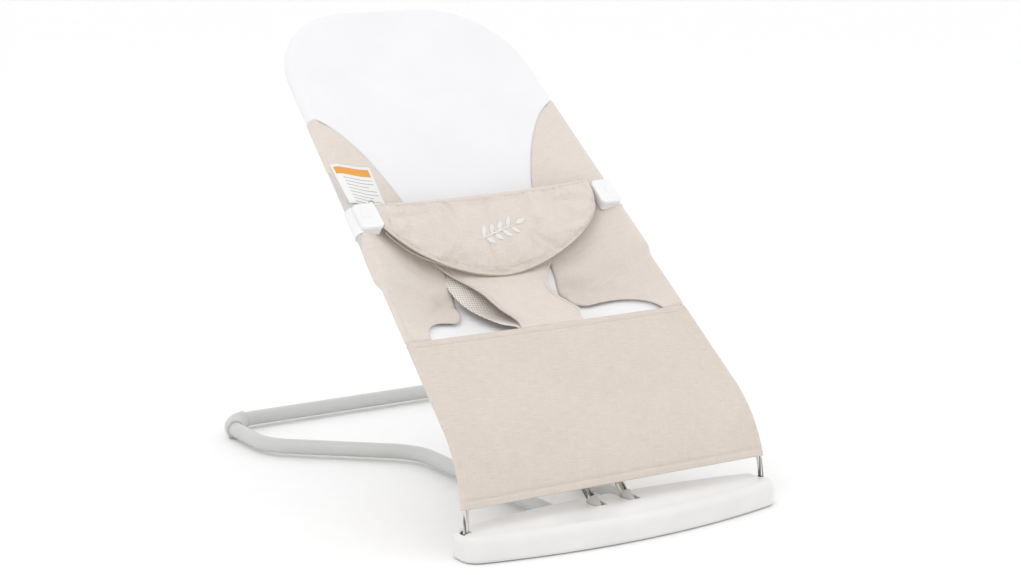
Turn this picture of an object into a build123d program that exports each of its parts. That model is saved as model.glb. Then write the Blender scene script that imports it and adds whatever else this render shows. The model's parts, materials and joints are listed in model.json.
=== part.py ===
"""Baby bouncer seat: a floor foot and wire-thin base tube carry a folding, springy fabric seat.

The object is drawn about the seat's pivot line: X across the seat, Y from the foot towards the head end,
Z up from the floor. export() moves everything so that the bounding box is centred on X = Y = 0.
Local seat coordinates are u (across), v (up the slope from the knee) and n (out of the seat plane).
"""

import os
from math import atan, cos, degrees, pi, radians, sin, sqrt, tan

from build123d import *

os.makedirs("parts", exist_ok=True)

# ---------------------------------------------------------------- driving dimensions, millimetres
PIVOT_Z = 15.5          # pivot line above the floor
SLOPE = 39.5            # seat back angle to the floor, degrees
KNEE_START_Z = 25.0     # where the upright side wires begin to bend back
KNEE_R = 135.0
HALF_AT_KNEE = 188.4    # seat half width where the straight back begins
TAPER = 0.063           # loss of half width per millimetre up the seat
HALF_AT_FOOT = 195.9
HEAD_V = 607.0          # top of the head tube, centreline
HEAD_CORNER_R = 106.0
RAIL_D = 16.0
RAIL_START_V = 222.0    # lower end of the head tube rails
WIRE_D = 6.0
CLOTH = 3.0             # thickness of a fabric panel solid

FOOT_HALF = 204.0
FOOT_FRONT = -47.0
FOOT_REAR = 45.0
FOOT_END_FRONT = -20.0
FOOT_END_REAR = 21.0
FOOT_TOP = 30.0
FOOT_RIM = 3.6
FOOT_EDGE_R = 10.0      # round of the shell's top edge
PLATE_BOTTOM, PLATE_TOP = 1.6, 3.3
WALL = 2.4

BASE_D = 18.0
BASE_Z = 12.6
LEG_X = 51.0
LEG_STRAIGHT_END = 345.0
REAR_X = 191.0
REAR_Y = 596.0
FLARE_Y = 470.0
REAR_R = 46.0
SLEEVE_R = 11.4

SHAFT_D = 6.0
HUB_D = 19.0
ROD_D = 10.0
ROD_X = 22.0
ROD_ANGLE = 39.0
BAR_V, BAR_N = 288.0, -60.0
BAR_D = 10.0

CLIP_V0, CLIP_V1 = 268.0, 305.0
STRAP_BASE_V = 121.0
BELT_HALF = 147.0
BELT_TOP_V = 306.0
BELT_THICK = 8.0
RUN = 0.05              # radial running clearance
GAP = 0.3               # clearance between pieces that only pass one another

BASE_LENGTH = REAR_Y + BASE_D / 2 - FOOT_FRONT
PIVOT_Y = -(REAR_Y + BASE_D / 2 + FOOT_FRONT) / 2

slope = radians(SLOPE)
turn = pi / 2 - slope
KNEE_Y = KNEE_R * (1 - cos(turn))
KNEE_Z = KNEE_START_Z + KNEE_R * sin(turn)
SEAT = Plane(origin=(0, KNEE_Y, KNEE_Z), x_dir=(1, 0, 0), z_dir=(0, -sin(slope), cos(slope)))


# ---------------------------------------------------------------- helpers
def half_width(v):
    """Distance from the middle of the seat to the rail's centreline."""
    return HALF_AT_KNEE - TAPER * v


def seat_point(u, v, n):
    return SEAT.from_local_coords(Vector(u, v, n))


def export(name, shape):
    shape = Pos(0, PIVOT_Y, 0) * shape
    shape.label = name
    export_step(shape, f"parts/{name}.step")


def export_pair(name, shape):
    """The shape given is on the +X side; the other is its mirror image."""
    export(f"{name}_right", shape)
    export(f"{name}_left", mirror(shape, about=Plane.YZ))


def bent_path(points, radii):
    """Straight runs joined by tangent arcs, one radius for each inner point."""
    points = [Vector(*p) for p in points]
    start, edges = points[0], []
    for i, radius in enumerate(radii, start=1):
        before = (points[i] - points[i - 1]).normalized()
        after = (points[i + 1] - points[i]).normalized()
        angle = radians(before.get_angle(after))
        reach = radius * tan(angle / 2)
        first, last = points[i] - before * reach, points[i] + after * reach
        inward = (after - before).normalized()
        middle = points[i] + inward * (radius / cos(angle / 2) - radius)
        edges += [Line(start, first), ThreePointArc(first, middle, last)]
        start = last
    edges.append(Line(start, points[-1]))
    return Wire(edges)


def rod(path, diameter, bore=0.0):
    """A round bar, or a tube when it has a bore, along a path."""
    section = Plane(origin=path @ 0, z_dir=path % 0)
    solid = sweep(section * Circle(diameter / 2), path=path)
    if bore:
        solid -= sweep(section * Circle(bore / 2), path=path)
    return solid


def x_cylinder(radius, x0, x1, y=0.0, z=PIVOT_Z):
    return Pos((x0 + x1) / 2, y, z) * Rot(0, 90, 0) * Cylinder(radius, abs(x1 - x0))


def local_block(u0, u1, v0, v1, n0, n1, edge=0.0):
    """A box in seat coordinates, its edges along n rounded when asked."""
    block = Pos((u0 + u1) / 2, (v0 + v1) / 2, (n0 + n1) / 2) * Box(u1 - u0, v1 - v0, n1 - n0)
    return fillet(block.edges().filter_by(Axis.Z), edge) if edge else block


def ruled(sections):
    """A solid through a row of closed polygons with the same number of corners."""
    return loft([Face(Wire.make_polygon([Vector(*p) for p in s])) for s in sections], ruled=True)


# ---------------------------------------------------------------- foot
def foot_outline(inset=0.0):
    """Lens seen from above: two shallow arcs with rounded ends."""
    end = FOOT_HALF - inset
    front, rear = FOOT_FRONT + inset, FOOT_REAR - inset
    low, high = FOOT_END_FRONT + inset, FOOT_END_REAR - inset
    outline = make_face([
        ThreePointArc((-end, low), (0, front), (end, low)),
        Line((end, low), (end, high)),
        ThreePointArc((end, high), (0, rear), (-end, high)),
        Line((-end, high), (-end, low)),
    ])
    return fillet(outline.vertices(), 19.0 - inset * 0.6)


def swept_slot(x0, x1, y0, y1, z0, z1):
    return Pos((x0 + x1) / 2, (y0 + y1) / 2, (z0 + z1) / 2) * Box(x1 - x0, y1 - y0, z1 - z0)


crown = Pos(0, -2, FOOT_TOP - 900) * Rot(0, 90, 0) * Cylinder(900, 2 * FOOT_HALF + 20)
outer = Pos(0, 0, FOOT_RIM) * extrude(foot_outline(), FOOT_TOP + 2 - FOOT_RIM) & crown
top_edges = outer.edges().filter_by(lambda e: e.center().Z > FOOT_TOP - 8)
outer = fillet(top_edges, FOOT_EDGE_R)
cavity = Pos(0, 0, FOOT_RIM - 1) * extrude(foot_outline(WALL), FOOT_TOP - 3.4 - FOOT_RIM + 1)
cavity = fillet(cavity.edges().group_by(Axis.Z)[-1], FOOT_EDGE_R - WALL)
shell = outer - cavity
slot_inner, slot_outer = HALF_AT_FOOT - 6.0, HALF_AT_FOOT + 4.2      # the wires lean inwards as they rise
for side in (-1, 1):
    shell -= swept_slot(*sorted((side * slot_inner, side * slot_outer)), -5.0, 26.0, 9.0, 40.0)
    shell -= swept_slot(*sorted((side * (ROD_X - 8.6), side * (ROD_X + 8.6))), 2.0, 60.0, 5.6, 40.0)
    shell -= Pos(side * LEG_X, 30, BASE_Z) * Rot(90, 0, 0) * Cylinder(BASE_D / 2 + 0.2, 60)
SCREWS = [(-150, 4), (-90, -14), (90, -14), (150, 4)]
for x, y in SCREWS:
    post = Pos(x, y, (PLATE_TOP + FOOT_TOP - 3.2) / 2 + 0.3) * Cylinder(4.0, FOOT_TOP - 3.2 - PLATE_TOP - 0.2)
    shell += post - Pos(x, y, 10) * Cylinder(1.7, 16.0)
export("foot_upper_shell", shell)

plate = Pos(0, 0, PLATE_BOTTOM) * extrude(foot_outline(WALL + 0.3), PLATE_TOP - PLATE_BOTTOM)
rim = Pos(0, 0, PLATE_BOTTOM) * extrude(foot_outline(0.6), FOOT_RIM - PLATE_BOTTOM - 0.3)
plate += rim - Pos(0, 0, PLATE_TOP) * extrude(foot_outline(WALL + 0.3), 5)
for x, y in SCREWS:
    plate -= Pos(x, y, 2) * Cylinder(1.8, 10)
    plate -= Pos(x, y, PLATE_BOTTOM) * Cone(3.3, 1.8, 1.6, align=(Align.CENTER, Align.CENTER, Align.MIN))
PADS = {"foot_pad_left": (-168, 3, 46, 22), "foot_pad_center": (0, -26, 48, 16), "foot_pad_right": (168, 3, 46, 22)}
for name, (x, y, length, depth) in PADS.items():
    stem = Pos(x, y, 1.5) * Cylinder(2.5, 4)
    plate -= stem
    pad = extrude(Pos(x, y) * SlotOverall(length, depth), PLATE_BOTTOM)
    pad = chamfer(pad.edges().group_by(Axis.Z)[0], 0.5)
    export(name, pad + Pos(x, y, PLATE_BOTTOM + 0.8) * Cylinder(2.4, 1.7))
export("foot_lower_plate", plate)

screws = Part()
for x, y in SCREWS:
    shank = Pos(x, y, 8.6) * Cylinder(1.6, 14)
    head = Pos(x, y, PLATE_BOTTOM + 0.1) * Cone(3.1, 1.6, 1.5, align=(Align.CENTER, Align.CENTER, Align.MIN))
    screws += shank + head - Pos(x, y, PLATE_BOTTOM) * Box(0.9, 3.6, 1.6)
export("foot_screws", screws)

# saddles that hold the base tube's legs, and the blocks that hold the pivot shaft
saddle = Pos(LEG_X, 8, (PLATE_TOP + 22.4) / 2) * Box(24, 44, 22.4 - PLATE_TOP)
saddle = fillet(saddle.edges().filter_by(Axis.Y).group_by(Axis.Z)[-1], 4)
saddle -= Pos(LEG_X, 30, BASE_Z) * Rot(90, 0, 0) * Cylinder(BASE_D / 2 + 0.02, 120)
saddle -= Pos(LEG_X, 8, 0) * Box(10, 60, 10)
export_pair("tube_saddle", saddle)

block = Pos(34.6, 0, (PLATE_TOP + 23.5) / 2) * Box(7.2, 20, 23.5 - PLATE_TOP)
block = fillet(block.edges().filter_by(Axis.X).group_by(Axis.Z)[-1], 7)
block -= x_cylinder(SHAFT_D / 2 + 0.02, 20, 50)
export_pair("shaft_block", block)

shaft = chamfer(x_cylinder(SHAFT_D / 2, -38.6, 38.6).edges(), 0.5)
export("pivot_shaft", shaft)

bush = x_cylinder(5.6, 172, 184) + x_cylinder(7.2, 184, 186)
bush += Pos(178, 0, (PLATE_TOP + PIVOT_Z) / 2) * Box(12, 9, PIVOT_Z - PLATE_TOP)
bush -= x_cylinder(WIRE_D / 2 + RUN, 160, 190)
export_pair("wire_bush", bush)

# ---------------------------------------------------------------- base tube and its rear feet
INSIDE_FOOT_Y = -12.0
half_loop = [(LEG_X, INSIDE_FOOT_Y, BASE_Z), (LEG_X, LEG_STRAIGHT_END, BASE_Z), (REAR_X, FLARE_Y, BASE_Z),
             (REAR_X, REAR_Y, BASE_Z)]
loop = half_loop + [(-x, y, z) for x, y, z in reversed(half_loop)]
base_path = bent_path(loop, [70, 60, REAR_R, REAR_R, 60, 70])
base_tube = rod(base_path, BASE_D, BASE_D - 2.4)
export("base_tube", base_tube)

corner = Vector(REAR_X - REAR_R, REAR_Y - REAR_R, BASE_Z)
sleeve_arc = CenterArc((corner.X, corner.Y, BASE_Z), REAR_R, 8, 60)
sleeve = rod(sleeve_arc, 2 * SLEEVE_R, BASE_D + 0.04)
pad_plane = Pos(corner.X, corner.Y)
pad_ring = extrude(make_face([
    CenterArc((0, 0), REAR_R + 7, 14, 54), Line(Vector(REAR_R + 7, 0).rotate(Axis.Z, 68), Vector(REAR_R - 7, 0).rotate(Axis.Z, 68)),
    CenterArc((0, 0), REAR_R - 7, 68, -54), Line(Vector(REAR_R - 7, 0).rotate(Axis.Z, 14), Vector(REAR_R + 7, 0).rotate(Axis.Z, 14)),
]), 6)
sleeve += pad_plane * pad_ring - rod(CenterArc((corner.X, corner.Y, BASE_Z), REAR_R, 4, 74), BASE_D + 0.04)
export_pair("rear_foot", sleeve)

# ---------------------------------------------------------------- recline hub inside the foot
hub = x_cylinder(HUB_D / 2 - 1.2, -7.5, 7.5) + x_cylinder(HUB_D / 2, -3.2, 3.2)
for angle in (180, 189, 198, 213.5):
    notch = Pos(0, HUB_D / 2 * cos(radians(angle)), PIVOT_Z + HUB_D / 2 * sin(radians(angle)))
    hub -= notch * Rot(0, 90, 0) * Cylinder(1.1, 7)
hub -= x_cylinder(SHAFT_D / 2 + RUN, -20, 20)
export("recline_hub", hub)

plunger = Pos(0, -HUB_D / 2 - GAP - 6, PIVOT_Z) * Rot(90, 0, 0) * Cylinder(1.6, 8)
tip = Pos(0, -HUB_D / 2 - GAP - 1.6, PIVOT_Z) * Sphere(1.6)
plunger = plunger + tip + Pos(0, -HUB_D / 2 - GAP - 4.6, PIVOT_Z) * Rot(90, 0, 0) * Cylinder(2.6, 1.2)
export("detent_plunger", plunger)
guide = Pos(0, -23, (PLATE_TOP + 20.5) / 2) * Box(12, 12, 20.5 - PLATE_TOP)
guide -= Pos(0, -20, PIVOT_Z) * Rot(90, 0, 0) * Cylinder(3.7, 12)
guide -= Pos(0, -26, PIVOT_Z) * Rot(90, 0, 0) * Cylinder(1.9, 8)
export("plunger_guide", guide)


def coil(radius, wire, pitch, turns, at, axis_dir):
    helix = Helix(pitch=pitch, height=pitch * turns, radius=radius)
    spring = sweep(Plane(origin=helix @ 0, z_dir=helix % 0) * Circle(wire / 2), path=helix, is_frenet=True)
    return Plane(origin=at, z_dir=axis_dir) * spring


export("detent_spring", coil(2.6, 0.8, 1.35, 5, (0, -15.6, PIVOT_Z), (0, -1, 0)))
torsion = coil(6.4, 1.6, 1.9, 2, (9.2, 0, PIVOT_Z), (1, 0, 0))
export_pair("bounce_spring", torsion)

# ---------------------------------------------------------------- seat frame
rod_dir = Vector(0, cos(radians(ROD_ANGLE)), sin(radians(ROD_ANGLE)))
bar_centre = seat_point(0, BAR_V, BAR_N)
pivot = Vector(0, 0, PIVOT_Z)
rod_dir = (bar_centre - pivot).normalized()
rod_reach = (bar_centre - pivot).length


def along_rod(x, distance):
    return Vector(x, 0, PIVOT_Z) + rod_dir * distance


carrier = x_cylinder(HUB_D / 2 - 0.5, 15.2, 28.8)
carrier += Plane(origin=along_rod(ROD_X, 0), z_dir=rod_dir) * Cylinder(
    6.6, 27, align=(Align.CENTER, Align.CENTER, Align.MIN))
carrier -= Plane(origin=along_rod(ROD_X, 8.0), z_dir=rod_dir) * Cylinder(
    ROD_D / 2 + 0.02, 40, align=(Align.CENTER, Align.CENTER, Align.MIN))
carrier -= x_cylinder(SHAFT_D / 2 + RUN, 0, 40)
export_pair("rod_carrier", carrier)

support = Plane(origin=along_rod(ROD_X, 8.1), z_dir=rod_dir) * Cylinder(
    ROD_D / 2, rod_reach - 8.1 - BAR_D / 2 - 0.1, align=(Align.CENTER, Align.CENTER, Align.MIN))
export_pair("support_rod", support)

link = Plane(origin=along_rod(0, 92), x_dir=(1, 0, 0), z_dir=rod_dir) * Box(2 * ROD_X + 22, 17, 20)
link = fillet(link.edges().filter_by(lambda e: e.length < 22 and abs((e % 0.5).dot(rod_dir)) > 0.9), 6)
for side in (-1, 1):
    link -= Plane(origin=along_rod(side * ROD_X, 92), z_dir=rod_dir) * Cylinder(ROD_D / 2 + 0.02, 60)
export("rod_link", link)

bar_half = half_width(BAR_V) - RAIL_D / 2 - 2
bar_points = [(-bar_half, BAR_V, -7), (-bar_half + 26, BAR_V, BAR_N), (bar_half - 26, BAR_V, BAR_N), (bar_half, BAR_V, -7)]
crossbar = rod(bent_path([seat_point(*p) for p in bar_points], [28, 28]), BAR_D)
export("seat_crossbar", crossbar)

wire_end_v = RAIL_START_V - 10
corner_z = KNEE_Z - KNEE_Y * tan(slope)
wire_points = [(171.0, 0, PIVOT_Z), (HALF_AT_FOOT, 0, PIVOT_Z), (HALF_AT_KNEE + 2.0, 0, corner_z),
               seat_point(half_width(RAIL_START_V + 14), RAIL_START_V + 14, 0)]
side_wire = rod(bent_path([tuple(Vector(*p)) for p in wire_points], [7.0, KNEE_R]), WIRE_D)
export_pair("side_wire", side_wire)

rail_foot = seat_point(half_width(RAIL_START_V), RAIL_START_V, 0)
rail_dir = (seat_point(half_width(500), 500, 0) - rail_foot).normalized()
head_half = half_width(HEAD_V)
head_points = [seat_point(half_width(RAIL_START_V), RAIL_START_V, 0), seat_point(head_half, HEAD_V, 0),
               seat_point(-head_half, HEAD_V, 0), seat_point(-half_width(RAIL_START_V), RAIL_START_V, 0)]
head_path = bent_path([tuple(p) for p in head_points], [HEAD_CORNER_R, HEAD_CORNER_R])
head_tube = rod(head_path, RAIL_D, RAIL_D - 2.4)
export("head_tube", head_tube)

ferrule = Plane(origin=rail_foot - rail_dir * 12, z_dir=rail_dir) * Cylinder(
    RAIL_D / 2 - 0.6, 12, align=(Align.CENTER, Align.CENTER, Align.MIN))
ferrule = chamfer(ferrule.edges().group_by(Axis.Z)[0], 3.0)
ferrule += Plane(origin=rail_foot, z_dir=rail_dir) * Cylinder(
    RAIL_D / 2 - 1.25, 20, align=(Align.CENTER, Align.CENTER, Align.MIN))
ferrule -= side_wire
export_pair("ferrule", ferrule)

# ---------------------------------------------------------------- seat fabric
PANEL_INSET = RAIL_D / 2 + GAP
POCKET_FLAT = 0.4       # share of the half width that is the flat bottom of the hollow
SAG_MAX, SAG_V = 44.0, 190.0
SAG_TOP_V = 470.0
LAP_V = 113.0           # top edge of the lower panel
HEM_Z = 53.0


def sag(v):
    """Depth of the hollow in the middle of the seat."""
    if v >= SAG_TOP_V:
        return 0.0
    if v >= SAG_V:
        return SAG_MAX * (1 - (v - SAG_V) / (SAG_TOP_V - SAG_V)) ** 1.4
    return SAG_MAX - 38.0 * ((SAG_V - v) / 74.0) ** 2


def panel_n(u, v):
    """Top face of the seat fabric: flat pocket, straight flanks up to the rails."""
    edge = half_width(v) - PANEL_INSET
    flat = POCKET_FLAT * edge
    return -sag(v) * min(1.0, max(0.0, (edge - abs(u)) / (edge - flat)))


def hollow_section(v, drop=0.0, thick=CLOTH):
    edge = half_width(v) - PANEL_INSET
    top = [(u, panel_n(u, v) - drop) for u in (-edge, -POCKET_FLAT * edge, POCKET_FLAT * edge, edge)]
    return [(u, v, n) for u, n in top] + [(u, v, n - thick) for u, n in reversed(top)]


PANEL_FOOT_V = 117.0
stations = (PANEL_FOOT_V, 135, 160, 190, 225, 265, 310, 360, 415, SAG_TOP_V, HEAD_V)
hammock = ruled([hollow_section(v) for v in stations])
foot_u = half_width(PANEL_FOOT_V - 10) - PANEL_INSET
head_u = head_half - PANEL_INSET
head_v = HEAD_V - PANEL_INSET
arch = make_face(Polyline((-foot_u, PANEL_FOOT_V - 10), (-head_u, head_v), (head_u, head_v),
                          (foot_u, PANEL_FOOT_V - 10), close=True))
arch = fillet(arch.vertices().filter_by(lambda p: p.Y > 400), HEAD_CORNER_R - PANEL_INSET)
hammock &= Pos(0, 0, -80) * extrude(arch, 120)
for side in (-1, 1):
    hammock -= local_block(*sorted((side * 145, side * 200)), CLIP_V0 - 1.5, CLIP_V1 + 1.5, -30, 20)

# the pale back panel narrows between two curved seams and ends behind the waist belt
SEAM = [(171.0, 441.0), (136.0, 416.0), (101.0, 352.0), (88.0, 315.0), (72.0, 258.0)]
seam_right = Spline(*SEAM)
seam_left = Spline(*[(-u, v) for u, v in SEAM])
pale = make_face([
    seam_right, Line(seam_right @ 1, seam_left @ 1), seam_left,
    Polyline(seam_left @ 0, (-200, 441), (-200, 660), (200, 660), (200, 441), seam_right @ 0)])
pale_prism = Pos(0, 0, -80) * extrude(pale, 120)
export("upper_back_panel", SEAT * (hammock & pale_prism))

LEG_U, LEG_HALF, LEG_RISE = 99.0, 57.0, 30.0
seat_panel = hammock - pale_prism
for side in (-1, 1):
    seat_panel -= Pos(side * LEG_U, LAP_V, -80) * extrude(Ellipse(LEG_HALF, LEG_RISE), 120)
    slit = Pos(side * 78, 150, -80) * extrude(SlotOverall(90, 22, rotation=90), 120)
    seat_panel -= slit
export("seat_panel", SEAT * seat_panel)

# the pale liner closes the hollow under the seat panel and shows in its leg openings
LINER, LINER_V = 1.5, 262.0
liner = ruled([hollow_section(v, CLOTH + 0.4, LINER) for v in (PANEL_FOOT_V, 135, 160, 190, 225, LINER_V)])
export("seat_liner", SEAT * liner)


def knee_point(radius, angle):
    return (KNEE_R - radius * cos(angle), KNEE_START_Z + radius * sin(angle))


def flank_point(v, n):
    p = seat_point(0, v, n)
    return (p.Y, p.Z)


over, under = KNEE_R + WIRE_D / 2 + 2.6, KNEE_R + WIRE_D / 2 + 0.3
a0 = (HEM_Z - KNEE_START_Z) / under
profile = make_face([
    ThreePointArc(knee_point(over, a0), knee_point(over, (a0 + turn) / 2), knee_point(over, turn)),
    Line(knee_point(over, turn), flank_point(LAP_V, over - KNEE_R)),
    Line(flank_point(LAP_V, over - KNEE_R), flank_point(LAP_V, under - KNEE_R)),
    Line(flank_point(LAP_V, under - KNEE_R), knee_point(under, turn)),
    ThreePointArc(knee_point(under, turn), knee_point(under, (a0 + turn) / 2), knee_point(under, a0)),
    Line(knee_point(under, a0), knee_point(over, a0)),
])
lower_panel = Plane.YZ * extrude(profile, 220, both=True)
lap_z = seat_point(0, LAP_V, 0).Z + 6
sides = [(HALF_AT_FOOT + 3.2, HEM_Z - 10), (HALF_AT_KNEE + 4, KNEE_Z), (half_width(LAP_V) + 4, lap_z)]
trim = Polyline(*sides, *[(-x, z) for x, z in reversed(sides)], close=True)
lower_panel &= Plane.XZ * extrude(make_face(trim), 400, both=True)
export("lower_panel", lower_panel)


def label_section(v):
    top = [(u, v, panel_n(u, v) + 1.1) for u in (-155.0, -123.0)]
    return top + [(u, v, n - 0.8) for u, v, n in reversed(top)]


export("sewn_label", SEAT * ruled([label_section(v) for v in (314, 342, 370)]))

# ---------------------------------------------------------------- side clips on the rails
clip_mid_v = (CLIP_V0 + CLIP_V1) / 2
clip_u = half_width(clip_mid_v)
BOSS_N = 9.6
BUTTON_U, BUTTON_V = 165.0, 288.0
clip_start = seat_point(half_width(CLIP_V0), CLIP_V0, 0)
clip = Plane(origin=clip_start, z_dir=rail_dir) * Cylinder(
    RAIL_D / 2 + 1.6, CLIP_V1 - CLIP_V0, align=(Align.CENTER, Align.CENTER, Align.MIN))
clip += SEAT * local_block(clip_u - 21, clip_u + 5, CLIP_V0, CLIP_V1, 2, BOSS_N, 4)
bar_tip, bar_knee = seat_point(bar_half, BAR_V, -7), seat_point(bar_half - 26, BAR_V, BAR_N)
clip += Plane(origin=bar_tip, z_dir=(bar_knee - bar_tip).normalized()) * Pos(0, 0, 6) * Cylinder(8.0, 16)
clip -= crossbar
clip -= Plane(origin=clip_start - rail_dir * 20, z_dir=rail_dir) * Cylinder(
    RAIL_D / 2 + 0.02, 90, align=(Align.CENTER, Align.CENTER, Align.MIN))
clip += SEAT * Pos(BUTTON_U, BUTTON_V, BOSS_N + 0.6) * Cylinder(4.0, 1.4)
export_pair("side_clip", clip)

# ---------------------------------------------------------------- recline handle under the seat
TRIGGER_V, TRIGGER_N = BAR_V + 15, BAR_N - 20.5
PIN_R = 1.5
housing = local_block(-44, 44, BAR_V - 21, BAR_V + 21, BAR_N - 16, BAR_N + 14, 9)
for side in (-1, 1):
    housing += local_block(*sorted((side * 25, side * 31)), TRIGGER_V - 4, TRIGGER_V + 4, TRIGGER_N - 3.5, BAR_N)
housing -= Pos(0, TRIGGER_V, TRIGGER_N) * Rot(0, 90, 0) * Cylinder(PIN_R + 0.02, 80)
housing = SEAT * housing - crossbar
for side in (-1, 1):
    housing -= Plane(origin=along_rod(side * ROD_X, rod_reach - 60), z_dir=rod_dir) * Cylinder(
        ROD_D / 2 + 0.02, 60, align=(Align.CENTER, Align.CENTER, Align.MIN))
export("handle_housing", housing)

lever = local_block(-20.7, 20.7, BAR_V - 19, TRIGGER_V, TRIGGER_N - 3.4, TRIGGER_N - 0.4, 6)
lever += Pos(0, TRIGGER_V, TRIGGER_N) * Rot(0, 90, 0) * Cylinder(3.4, 41.4)
lever -= Pos(0, BAR_V - 8, TRIGGER_N - 4.4) * extrude(SlotOverall(26, 9), 1.8)
lever -= Pos(0, TRIGGER_V, TRIGGER_N) * Rot(0, 90, 0) * Cylinder(PIN_R + RUN, 80)
export("recline_trigger", SEAT * lever)
export("trigger_pin", SEAT * Pos(0, TRIGGER_V, TRIGGER_N) * Rot(0, 90, 0) * Cylinder(PIN_R, 62))
export("trigger_spring", SEAT * Pos(0, TRIGGER_V, TRIGGER_N) * coil(2.4, 0.7, 0.85, 3, (21.8, 0, 0), (1, 0, 0)))

# ---------------------------------------------------------------- harness: belt, crotch strap, mesh, buckles
HARNESS_V, HARNESS_N = 117.0, 1.5


def belt_section(u):
    share = abs(u) / BELT_HALF
    low_v = 211.0 + 54.0 * share ** 1.7
    top_n, low_n = 9.0 + 5.0 * share ** 2, -20.0 + 34.0 * share ** 2
    return [(u, BELT_TOP_V, top_n), (u, low_v, low_n), (u, low_v, low_n - BELT_THICK),
            (u, BELT_TOP_V, top_n - BELT_THICK)]


belt = ruled([belt_section(BELT_HALF * k / 8) for k in range(-8, 9)])
export("waist_belt", SEAT * belt)


def strap_section(v, half, n, thick):
    return [(-half, v, n), (half, v, n), (half, v, n - thick), (-half, v, n - thick)]


STRAP = [(STRAP_BASE_V, 38, 2.0), (148, 36, -9), (180, 39, -18), (208, 54, -23)]
MESH = [(STRAP_BASE_V + 2, 38, -5), (142, 66, -20), (175, 74, -28), (230, 78, -28)]
export("crotch_strap", SEAT * ruled([strap_section(*row, CLOTH) for row in STRAP]))
export("mesh_lining", SEAT * ruled([strap_section(*row, 1.2) for row in MESH]))

BUCKLE_N0, BUCKLE_N1 = BOSS_N + 0.4, BOSS_N + 5.8
BUTTON_R, BUTTON_TRAVEL = 5.5, 1.5
buckle = local_block(BELT_HALF + 0.3, clip_u + 5, CLIP_V0 + 0.5, CLIP_V1 - 0.5, BUCKLE_N0, BUCKLE_N1, 6)
buckle = fillet(buckle.edges().group_by(Axis.Z)[-1], 1.8)
buckle -= Pos(BUTTON_U, BUTTON_V, BUCKLE_N0) * Cylinder(4.4, 2.6)
buckle -= Pos(BUTTON_U, BUTTON_V, BUCKLE_N0 + 1.7) * Cylinder(
    BUTTON_R + RUN, 20, align=(Align.CENTER, Align.CENTER, Align.MIN))
export_pair("buckle", SEAT * buckle)
button = Pos(BUTTON_U, BUTTON_V, BUCKLE_N0 + 1.7 + BUTTON_TRAVEL + 0.2) * Cylinder(
    BUTTON_R, 2.4, align=(Align.CENTER, Align.CENTER, Align.MIN))
button = fillet(button.edges().group_by(Axis.Z)[-1], 0.5)
button -= Pos(BUTTON_U, BUTTON_V, BUCKLE_N1 + 1.0) * (Cylinder(3.8, 1.2) - Cylinder(2.6, 1.2))
export_pair("release_button", SEAT * button)
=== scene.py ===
"""Looks of the baby bouncer seat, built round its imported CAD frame."""

import json
import math

import bmesh
import bpy
import numpy as np
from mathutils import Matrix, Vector
from mathutils.bvhtree import BVHTree


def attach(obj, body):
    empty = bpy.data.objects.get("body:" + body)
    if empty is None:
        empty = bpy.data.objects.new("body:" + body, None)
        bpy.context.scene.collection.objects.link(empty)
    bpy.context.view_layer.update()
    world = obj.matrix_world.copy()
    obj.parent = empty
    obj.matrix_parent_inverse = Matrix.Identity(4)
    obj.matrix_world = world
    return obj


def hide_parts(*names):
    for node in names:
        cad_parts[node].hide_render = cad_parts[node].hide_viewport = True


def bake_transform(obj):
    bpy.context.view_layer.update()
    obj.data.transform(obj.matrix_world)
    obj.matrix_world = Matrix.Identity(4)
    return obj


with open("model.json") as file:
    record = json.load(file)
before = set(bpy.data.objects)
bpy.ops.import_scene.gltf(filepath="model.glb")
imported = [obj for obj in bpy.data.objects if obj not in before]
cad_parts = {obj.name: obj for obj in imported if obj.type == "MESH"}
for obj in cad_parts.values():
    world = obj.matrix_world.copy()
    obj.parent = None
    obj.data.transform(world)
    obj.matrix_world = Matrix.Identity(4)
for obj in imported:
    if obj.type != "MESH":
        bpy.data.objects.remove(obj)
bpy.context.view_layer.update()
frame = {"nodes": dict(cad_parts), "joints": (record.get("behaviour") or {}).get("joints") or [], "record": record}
nodes = frame["nodes"]
joints = {j["name"]: j for j in frame["joints"]}

# ------------------------------------------------------------------ camera, made first
CAMERA_PLACE = (-1.3875, -2.2405, 0.7618)
CAMERA_AZIMUTH, CAMERA_DOWN = math.radians(-32.457), math.radians(11.626)
FOCAL_PIXELS, IMAGE_WIDTH = 2304.5, 1021
camera_data = bpy.data.cameras.new("camera")
camera_data.sensor_width = 36.0
camera_data.lens = FOCAL_PIXELS / IMAGE_WIDTH * camera_data.sensor_width
camera_data.clip_start, camera_data.clip_end = 0.05, 60.0
camera = bpy.data.objects.new("camera", camera_data)
bpy.context.scene.collection.objects.link(camera)
camera.location = CAMERA_PLACE
look = Vector((-math.sin(CAMERA_AZIMUTH) * math.cos(CAMERA_DOWN),
               math.cos(CAMERA_AZIMUTH) * math.cos(CAMERA_DOWN), -math.sin(CAMERA_DOWN)))
camera.rotation_mode = "QUATERNION"
camera.rotation_quaternion = look.to_track_quat("-Z", "Y")
bpy.context.scene.camera = camera

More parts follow.
